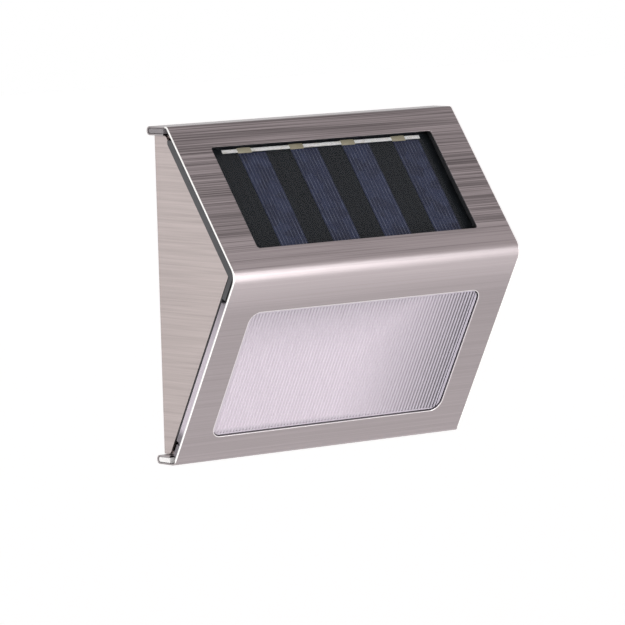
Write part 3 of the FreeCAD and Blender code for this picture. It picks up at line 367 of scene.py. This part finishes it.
def frostedLens(values):
    # opal ribbed acrylic: stray light washes it out in the middle, while painted shade darkens it
    # towards one end, under the top edge and along the foot, darkest in the grooves, standing in
    # for the hollow behind; paler grooves in the middle are painted light for what the plate
    # scatters
    material, tree, shader = startMaterial("opalAcrylic", {
        "Roughness": values["roughness"], "IOR": 1.49, "Subsurface Weight": 0.2,
        "Subsurface Radius": (1.0, 1.0, 1.0), "Subsurface Scale": 0.8 * mm})
    turn = frontFrame.to_3x3()
    place = addNode(tree, "ShaderNodeTexCoord")
    moved = addNode(tree, "ShaderNodeVectorMath", {"operation": "SUBTRACT",
                                                   1: Vector(slopes["foot"])},
                    {0: place.outputs["Object"]})
    across, up, out = [addNode(tree, "ShaderNodeVectorMath", {
        "operation": "DOT_PRODUCT", 1: turn @ Vector(axis)}, {0: moved}).outputs["Value"]
        for axis in ((1, 0, 0), (0, 1, 0), (0, 0, 1))]
    share = addNode(tree, "ShaderNodeMapRange", {
        "From Min": values["field"] - values["relief"] * values["ribShare"],
        "From Max": values["field"]},
        {"Value": out})
    endShade = addNode(tree, "ShaderNodeMapRange", {
        "From Min": values["endFrom"], "From Max": values["endTo"]}, {"Value": across})
    endCurve = addNode(tree, "ShaderNodeMath", {"operation": "POWER", 1: values["endPower"]},
                       {0: endShade})
    topShade = addNode(tree, "ShaderNodeMapRange", {
        "From Min": values["topFrom"], "From Max": values["topTo"],
        "To Max": values["topMost"]}, {"Value": up})
    topCurve = addNode(tree, "ShaderNodeMath", {"operation": "POWER", 1: values["topPower"]},
                       {0: topShade})
    footShade = addNode(tree, "ShaderNodeMapRange", {
        "From Min": values["footFrom"], "From Max": values["footTo"],
        "To Max": values["footMost"]}, {"Value": up})
    edges = addNode(tree, "ShaderNodeMath", {"operation": "MAXIMUM"}, {0: topCurve, 1: footShade})
    shade = addNode(tree, "ShaderNodeMath", {"operation": "MAXIMUM"}, {0: endCurve, 1: edges})
    ridge = addNode(tree, "ShaderNodeMix", {"data_type": "RGBA", 6: colour(values["ridge"]),
                                            7: colour(values["dimRidge"])}, {0: shade})
    groove = addNode(tree, "ShaderNodeMix", {"data_type": "RGBA", 6: colour(values["groove"]),
                                             7: colour(values["dimGroove"])}, {0: shade})
    tone = addNode(tree, "ShaderNodeMix", {"data_type": "RGBA"},
                   {0: share, 6: groove.outputs[2], 7: ridge.outputs[2]})
    frost = grainOf(tree, (values["frost"],) * 3)
    etched = addNode(tree, "ShaderNodeBump", {"Strength": 0.04, "Distance": 0.05 * mm},
                     {"Height": frost})
    wire(tree, shader, {"Base Color": tone.outputs[2], "Normal": etched})
    return material


led = {"phosphor": "F2E9B8", "epoxy": "FBF9EE", "core": 2 * mm}


def ledEpoxy(values):
    # clear epoxy over yellow phosphor: pale and glossy, warmer at the core
    material, tree, shader = startMaterial("ledEpoxy", {"Roughness": 0.08, "IOR": 1.52,
                                                        "Transmission Weight": 0.5})
    core = grainOf(tree, (values["core"],) * 3, 1.0)
    tone = addNode(tree, "ShaderNodeValToRGB", {
        "stops": [(0.35, values["phosphor"]), (0.6, values["epoxy"])]}, {"Fac": core})
    wire(tree, shader, {"Base Color": tone})
    return material


finish = {name: mouldedPlastic(name, values) for name, values in plastics.items()}
finish.update({name: platedMetal(name, values) for name, values in metals.items()})
finish.update({name: maskedLaminate(name, values) for name, values in laminates.items()})
finish.update({"coverSteel": coverSteel(cover), "bracketSteel": bracketSteel(bracket),
               "tinnedRibbon": tinnedRibbon(ribbon), "siliconCell": siliconCell(cell),
               "clearResin": clearResin(resin), "frostedLens": frostedLens(lens),
               "ledEpoxy": ledEpoxy(led)})
print("finishes:", len(finish))

# the finish of each node and the width of its broken edges in mm; 0 keeps the solid as it is
dressing = {
    "front_cover": ("coverSteel", 0.25), "wall_bracket": ("bracketSteel", 0.14),
    "light_housing": ("mouldedBlackAbs", 0.2), "rear_case": ("mouldedBlackAbs", 0.18),
    "battery_door": ("doorAbs", 0.15), "switch_knob": ("switchNylon", 0.15),
    "lens": ("frostedLens", 0.0), "reflector": ("whiteReflectorAbs", 0.1),
    "case_gasket": ("siliconeRubber", 0.0), "case_screws": ("zincPlate", 0.12),
    "panel_seal": ("closedCellFoam", 0.0), "lens_seal": ("closedCellFoam", 0.0),
    "panel_board": ("blackSolderMask", 0.0), "solar_cells": ("siliconCell", 0.0),
    "cell_ribbons": ("tinnedRibbon", 0.0), "cell_tabs": ("firedSilverTab", 0.0),
    "panel_resin": ("clearResin", 0.0),
    "led_board": ("greenSolderMask", 0.0), "leds": ("ledEpoxy", 0.0),
    "control_board": ("greenSolderMask", 0.0), "board_components": ("mouldedEpoxy", 0.1),
    "board_screws": ("zincPlate", 0.08), "switch_body": ("tinnedShell", 0.12),
    "battery_cell": ("nickelCan", 0.0), "battery_jacket": ("greenPvcSleeve", 0.0),
    "contact_plate": ("nickelContact", 0.06), "contact_spring": ("nickelContact", 0.0),
    "panel_lead_red": ("redPvc", 0.0), "panel_lead_black": ("blackPvc", 0.0),
    "lamp_lead_red": ("redPvc", 0.0), "lamp_lead_black": ("blackPvc", 0.0),
}


# how a copy is merged and its edges broken: weld in metres, the three limits in degrees
edging = {"weld": 0.002 * mm, "flatWithin": 0.4, "sharpFrom": 28, "bevelFrom": 40,
          "segments": 2, "flatWeight": 100}


def boxOn(node, placement):
    # a node's lowest and highest corner in a slope's own axes
    inside = [placement.inverted() @ v.co for v in frame["nodes"][node].data.vertices]
    return (Vector([min(p[i] for p in inside) for i in range(3)]),
            Vector([max(p[i] for p in inside) for i in range(3)]))


def bodyOf(node):
    for name, nodes in frame["record"]["behaviour"]["bodies"].items():
        if node in nodes:
            return name


def dressed(node, material, edge):
    # a merged copy of the node's mesh with broken edges and smooth bends
    mesh = frame["nodes"][node].data.copy()
    mesh.name = node + "Dressed"
    welded = bmesh.new()
    welded.from_mesh(mesh)
    bmesh.ops.remove_doubles(welded, verts=welded.verts, dist=edging["weld"])
    bmesh.ops.dissolve_limit(welded, angle_limit=math.radians(edging["flatWithin"]),
                             verts=welded.verts, edges=welded.edges)
    welded.to_mesh(mesh)
    welded.free()
    mesh.polygons.foreach_set("use_smooth", [True] * len(mesh.polygons))
    mesh.set_sharp_from_angle(angle=math.radians(edging["sharpFrom"]))
    piece = newObject(node + "Dressed", mesh)
    bevel = piece.modifiers.new("edge", "BEVEL")
    bevel.width = edge * mm
    bevel.segments = edging["segments"]
    bevel.limit_method = "ANGLE"
    bevel.angle_limit = math.radians(edging["bevelFrom"])
    bevel.use_clamp_overlap = True
    flat = piece.modifiers.new("flat", "WEIGHTED_NORMAL")    # keeps the large faces flat
    flat.keep_sharp = True
    flat.weight = edging["flatWeight"]
    evaluated = piece.evaluated_get(bpy.context.evaluated_depsgraph_get())
    piece.data = bpy.data.meshes.new_from_object(evaluated)
    piece.modifiers.clear()
    piece.data.materials.clear()
    piece.data.materials.append(material)
    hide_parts(node)
    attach(piece, bodyOf(node))
    return piece


fingers = {"perCell": 8, "width": 0.13 * mm, "height": 0.03 * mm, "margin": 0.7 * mm,
           "endGap": 0.2 * mm}    # drawn wide enough to show


def rowTree(name, numbers):
    # rows of one bar: the named inputs are its sizes, and the bars stand along x
    tree = bpy.data.node_groups.new(name, "GeometryNodeTree")
    tree.is_modifier = True
    kinds = {int: "NodeSocketInt", float: "NodeSocketFloat"}
    for label, value in numbers.items():
        tree.interface.new_socket(label, in_out="INPUT", socket_type=kinds[type(value)])
    tree.interface.new_socket("Material", in_out="INPUT", socket_type="NodeSocketMaterial")
    tree.interface.new_socket("Geometry", in_out="OUTPUT", socket_type="NodeSocketGeometry")
    given = addNode(tree, "NodeGroupInput").outputs
    size = addNode(tree, "ShaderNodeCombineXYZ", None, {
        "X": given["Bar Width"], "Y": given["Bar Length"], "Z": given["Bar Height"]})
    bar = addNode(tree, "GeometryNodeMeshCube", None, {"Size": size.outputs[0]})
    step = addNode(tree, "ShaderNodeCombineXYZ", None, {"X": given["Bar Pitch"]})
    group = addNode(tree, "ShaderNodeCombineXYZ", None, {"X": given["Group Pitch"]})
    bars = addNode(tree, "GeometryNodeMeshLine", {"mode": "OFFSET"}, {
        "Count": given["Bars"], "Offset": step.outputs[0]})
    row = addNode(tree, "GeometryNodeInstanceOnPoints", None, {
        "Points": bars.outputs["Mesh"], "Instance": bar.outputs["Mesh"]})
    groups = addNode(tree, "GeometryNodeMeshLine", {"mode": "OFFSET"}, {
        "Count": given["Groups"], "Offset": group.outputs[0]})
    rows = addNode(tree, "GeometryNodeInstanceOnPoints", None, {
        "Points": groups.outputs["Mesh"], "Instance": row.outputs["Instances"]})
    real = addNode(tree, "GeometryNodeRealizeInstances", None, {
        "Geometry": rows.outputs["Instances"]})
    painted = addNode(tree, "GeometryNodeSetMaterial", None, {
        "Geometry": real.outputs["Geometry"], "Material": given["Material"]})
    addNode(tree, "NodeGroupOutput", None, {"Geometry": painted.outputs["Geometry"]})
    return tree


def rowPiece(name, numbers, material, placement):
    # runs the tree once, keeps its mesh and sets it down in the slope's axes
    piece = newObject(name, bpy.data.meshes.new(name))
    rows = piece.modifiers.new("rows", "NODES")
    rows.node_group = rowTree(name, numbers)
    for item in rows.node_group.interface.items_tree:
        if item.in_out == "INPUT":
            rows[item.identifier] = numbers.get(item.name, material)
    evaluated = piece.evaluated_get(bpy.context.evaluated_depsgraph_get())
    mesh = bpy.data.meshes.new_from_object(evaluated)
    piece.modifiers.clear()
    mesh.transform(placement)
    piece.data = mesh
    if not mesh.materials:
        mesh.materials.append(material)
    return piece


def cellFingers(values):
    # printed silver lines along each cell; the cells' left and right edges are read off them
    low, high = boxOn("solar_cells", roofFrame)
    sides = sorted({round(v.co.x / mm, 2) for v in frame["nodes"]["solar_cells"].data.vertices})
    cellWidth, pitch = (sides[1] - sides[0]) * mm, (sides[2] - sides[0]) * mm
    step = (cellWidth - 2 * values["margin"]) / (values["perCell"] - 1)
    start = Vector((low.x + values["margin"], (low.y + high.y) / 2,
                    high.z + values["height"] / 2))
    numbers = {"Bars": values["perCell"], "Bar Pitch": step, "Bar Width": values["width"],
               "Bar Length": high.y - low.y - 2 * values["endGap"],
               "Bar Height": values["height"], "Groups": len(sides) // 2, "Group Pitch": pitch}
    piece = rowPiece("cellFingers", numbers, finish["printedSilver"],
                     roofFrame @ Matrix.Translation(start))
    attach(piece, body)


cellFingers(fingers)
print("silver fingers on the cells")

# beads that close the ends of the folds, grey above as painted shade and pale at the foot as a
# painted highlight; side view in metres
beads = {"length": 6 * mm, "end": 58.8 * mm, "soft": 0.2 * mm, "arc": 8,
         "headBead": {"low": 25.7 * mm, "high": 27.4 * mm, "front": -8.4 * mm,
                      "back": -0.6 * mm, "finish": "paintedShadeFiller"},
         "footBead": {"low": -79.4 * mm, "high": -77.7 * mm, "front": -6.5 * mm,
                      "back": -0.6 * mm, "finish": "paintedHighlightFiller"}}


def foldBead(name, values):
    # a bar with a round back, drawn in side view and pulled along the width at both ends
    own = values[name]
    radius, middle = (own["high"] - own["low"]) / 2, (own["high"] + own["low"]) / 2
    turns = [math.pi * i / values["arc"] - math.pi / 2 for i in range(values["arc"] + 1)]
    outline = [(own["front"], own["high"]), (own["front"], own["low"])] + [
        (own["back"] - radius + radius * math.cos(t), middle + radius * math.sin(t))
        for t in turns]
    shape = bmesh.new()
    for side in (-1, 1):
        outer, inner = [[shape.verts.new((side * x, y, z)) for y, z in outline]
                        for x in (values["end"], values["end"] - values["length"])]
        cap = shape.faces.new(outer)
        shape.faces.new(inner[::-1])
        for i in range(len(outline)):
            shape.faces.new((outer[i - 1], outer[i], inner[i], inner[i - 1]))
        bmesh.ops.bevel(shape, geom=list(cap.edges), offset=values["soft"], segments=2,
                        affect="EDGES", profile=0.5)
    bmesh.ops.recalc_face_normals(shape, faces=shape.faces)
    mesh = bpy.data.meshes.new(name)
    shape.to_mesh(mesh)
    shape.free()
    mesh.materials.append(finish[own["finish"]])
    piece = newObject(name, mesh)
    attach(piece, body)


skirtFoot = {"outer": 57.7 * mm, "inner": 56.5 * mm, "low": 1.6 * mm, "top": -0.9 * mm,
             "depth": 2.4 * mm, "soft": 0.15 * mm}


def lensSkirtFeet(values):
    # the lens's side walls run on below its plate, down to the foot of the cover
    low, high = boxOn("lens", frontFrame)
    shape = bmesh.new()
    for side in (-1, 1):
        size = Vector((values["outer"] - values["inner"], low.y - values["low"],
                       values["depth"]))
        centre = Vector((side * (values["outer"] + values["inner"]) / 2,
                         (low.y + values["low"]) / 2, values["top"] - values["depth"] / 2))
        made = bmesh.ops.create_cube(shape, size=1.0)["verts"]
        for vert in made:
            vert.co = Vector([vert.co[i] * size[i] + centre[i] for i in range(3)])
    bmesh.ops.bevel(shape, geom=list(shape.edges), offset=values["soft"], segments=2,
                    affect="EDGES", profile=0.5)
    bmesh.ops.transform(shape, matrix=frontFrame, verts=shape.verts)
    mesh = bpy.data.meshes.new("lensSkirtFeet")
    shape.to_mesh(mesh)
    shape.free()
    mesh.materials.append(finish["frostedLens"])
    piece = newObject("lensSkirtFeet", mesh)
    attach(piece, body)


lensSkirtFeet(skirtFoot)
foldBead("headBead", beads)
foldBead("footBead", beads)
print("lens feet and the beads in the folds")

bareNodes = [node for node, (_, edge) in dressing.items() if edge == 0]
for node in bareNodes:
    for slot in frame["nodes"][node].material_slots:
        slot.material = finish[dressing[node][0]]
for node, (name, edge) in dressing.items():
    if edge:
        piece = dressed(node, finish[name], edge)
print("dressed:", len(dressing) - len(bareNodes), "left as solids:", len(bareNodes))

# lamps: place, power in watts, width, height; tones: what the cards and the walls send back
studio = {
    "key": ((-1.1, -1.5, 1.0), 5.0, 1.5, 1.5), "fill": ((-1.6, 0.6, 0.3), 3.0, 0.9, 0.9),
    "bendLamp": ((0.45, -1.45, 0.0), 36.0, 0.8, 2.6),
    "edgeLamp": ((-1.4, -0.7, 0.0), 12.0, 0.9, 1.8),
    "lowLamp": ((0.70, 0.04, -0.66), 0.5, 0.5, 0.5),
    "aim": (0, -0.02, -0.03), "floor": -1.75, "floorSize": 60.0, "floorTone": "F0F0F0",
    "floorGlow": 0.56, "wallTone": "E4E0E0", "wallStrength": 0.62,
    "cardPlace": (1.3, -0.45, 0.6), "cardSize": 2.2, "cardTone": "A39F9F",
    "cardStrength": 1.95}


def backdropRays(tree):
    # 1 for rays that look straight at the backdrop, or through glass or off a gloss at it
    path = addNode(tree, "ShaderNodeLightPath")
    direct = addNode(tree, "ShaderNodeMath", {"operation": "MAXIMUM"}, {
        0: path.outputs["Is Camera Ray"], 1: path.outputs["Is Glossy Ray"]})
    return addNode(tree, "ShaderNodeMath", {"operation": "MAXIMUM"}, {
        0: direct, 1: path.outputs["Is Transmission Ray"]})


def whiteWalls(values):
    # the studio's pale walls, white wherever they are seen
    world = bpy.data.worlds.new("studio")
    bpy.context.scene.world = world
    world.use_nodes = True
    tree = world.node_tree
    tree.nodes.clear()
    walls = addNode(tree, "ShaderNodeBackground", {
        "Color": colour(values["wallTone"]), "Strength": values["wallStrength"]})
    white = addNode(tree, "ShaderNodeBackground", {"Color": colour("FFFFFF"), "Strength": 1.0})
    mixed = addNode(tree, "ShaderNodeMixShader", None, {0: backdropRays(tree), 1: walls,
                                                        2: white})
    addNode(tree, "ShaderNodeOutputWorld", None, {"Surface": mixed})


def flatCard(name, centre, size, material):
    # a level square that isn't part of the light
    half = size / 2
    mesh = bpy.data.meshes.new(name)
    corners = [(centre[0] + x * half, centre[1] + y * half, centre[2])
               for x, y in ((-1, -1), (1, -1), (1, 1), (-1, 1))]
    mesh.from_pydata(corners, [], [(0, 1, 2, 3)])
    mesh.materials.append(material)
    card = newObject(name, mesh)
    return card


def paleFloor(values):
    # matt white card; a glow is added where it is seen, so it reads white with its shadow
    material, tree, shader = startMaterial("whiteCard", {
        "Base Color": colour(values["floorTone"]), "Roughness": 0.9})
    share = addNode(tree, "ShaderNodeMath", {"operation": "MULTIPLY", 1: values["floorGlow"]},
                    {0: backdropRays(tree)})
    glow = addNode(tree, "ShaderNodeEmission", {"Color": colour("FFFFFF")}, {"Strength": share})
    lit = addNode(tree, "ShaderNodeAddShader", None, {0: shader, 1: glow})
    output = next(node for node in tree.nodes if node.type == "OUTPUT_MATERIAL")
    wire(tree, output, {"Surface": lit})
    flatCard("floor", (0, 0, values["floor"]), values["floorSize"], material)


def greyCard(values):
    # hung over the right side for the roof to mirror, out of the camera's sight
    material = startMaterial("greyCard", {
        "Base Color": colour("000000"), "Roughness": 1.0, "Specular IOR Level": 0.0,
        "Emission Color": colour(values["cardTone"]),
        "Emission Strength": values["cardStrength"]})[0]
    card = flatCard("greyCard", values["cardPlace"], values["cardSize"], material)
    card.visible_camera = False


def areaLamp(name, values):
    # a soft box turned towards the light, out of the camera's sight
    place, power, width, height = values[name]
    lamp = bpy.data.lights.new(name, "AREA")
    lamp.shape = "RECTANGLE"
    lamp.size, lamp.size_y, lamp.energy = width, height, power
    holder = newObject(name, lamp)
    holder.location = place
    heading = Vector(values["aim"]) - Vector(place)
    holder.rotation_euler = heading.to_track_quat("-Z", "Y").to_euler()
    holder.visible_camera = False


def photoCamera():
    # looks along the photograph's line of sight, with its slight roll
    turn, lift = math.radians(camera["azimuth"]), math.radians(camera["elevation"])
    back = Vector((math.sin(turn) * math.cos(lift), -math.cos(turn) * math.cos(lift),
                   math.sin(lift)))
    data = bpy.data.cameras.new("photoCamera")
    data.lens, data.sensor_width = camera["lens"], camera["sensor"]
    data.clip_start = camera["nearest"]
    holder = newObject("photoCamera", data)
    holder.location = Vector(camera["target"]) + back * camera["distance"]
    look = (-back).to_track_quat("-Z", "Y")
    holder.rotation_mode = "QUATERNION"
    holder.rotation_quaternion = look @ Matrix.Rotation(
        math.radians(camera["roll"]), 3, "Z").to_quaternion()
    bpy.context.scene.camera = holder


whiteWalls(studio)
paleFloor(studio)
greyCard(studio)
for lampName in ("key", "fill", "bendLamp", "edgeLamp", "lowLamp"):
    areaLamp(lampName, studio)
photoCamera()
bpy.context.scene.view_settings.view_transform = "Standard"
print("studio and camera set")
